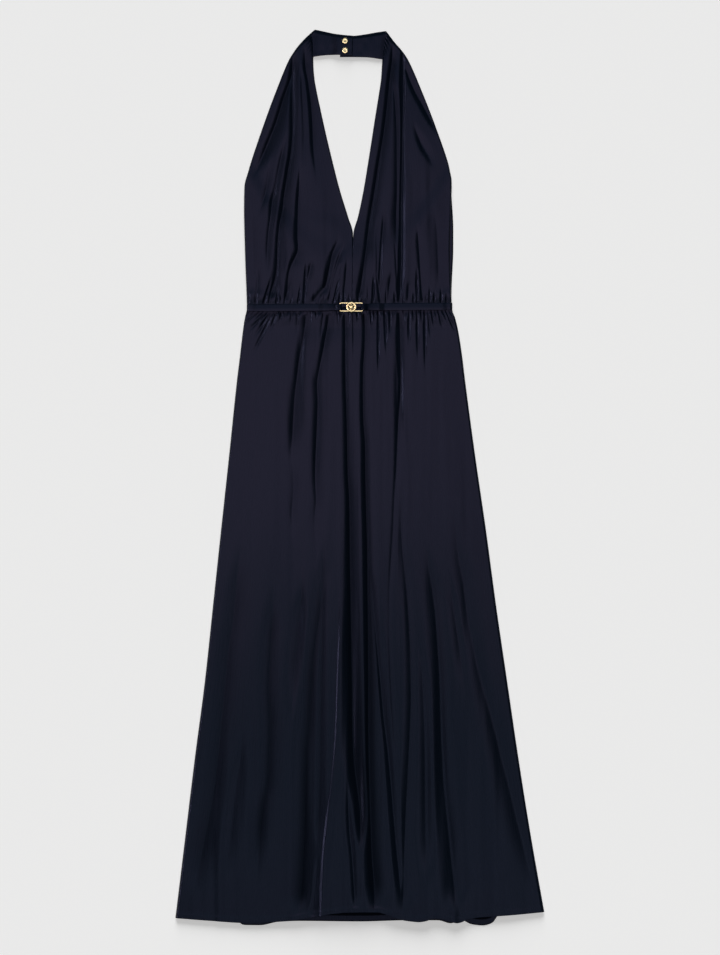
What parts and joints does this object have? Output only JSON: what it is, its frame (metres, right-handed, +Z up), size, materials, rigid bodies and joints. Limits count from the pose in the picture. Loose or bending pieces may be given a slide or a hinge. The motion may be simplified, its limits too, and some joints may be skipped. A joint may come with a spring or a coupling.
{
  "type": "backless halter-neck maxi dress with belt",
  "caption": "Backless halter-neck maxi dress in satin, laid flat on its back, with a deep V neck, gathered waist, thin belt with a metal buckle, and a long flared skirt.",
  "frame": {"origin": "middle of the bounding box on the surface that the dress lies on", "axes": "+Y from the hem to the neck, +X to the right as seen from above, +Z up off the surface, front of the dress facing up"},
  "size_m": [0.6087, 1.4776, 0.0132],
  "materials": {
    "navy_satin": "satin",
    "polished_gold": "polished"
  },
  "bodies": {
    "root": {"skirt_front": "navy_satin", "skirt_back": "navy_satin", "bodice_front_left": "navy_satin", "bodice_front_right": "navy_satin", "bodice_back": "navy_satin", "neckband_left": "navy_satin", "neckband_right": "navy_satin", "snap_upper": "polished_gold", "snap_lower": "polished_gold", "belt": "navy_satin", "buckle_frame": "polished_gold", "buckle_medallion": "polished_gold"}
  },
  "joints": []
}
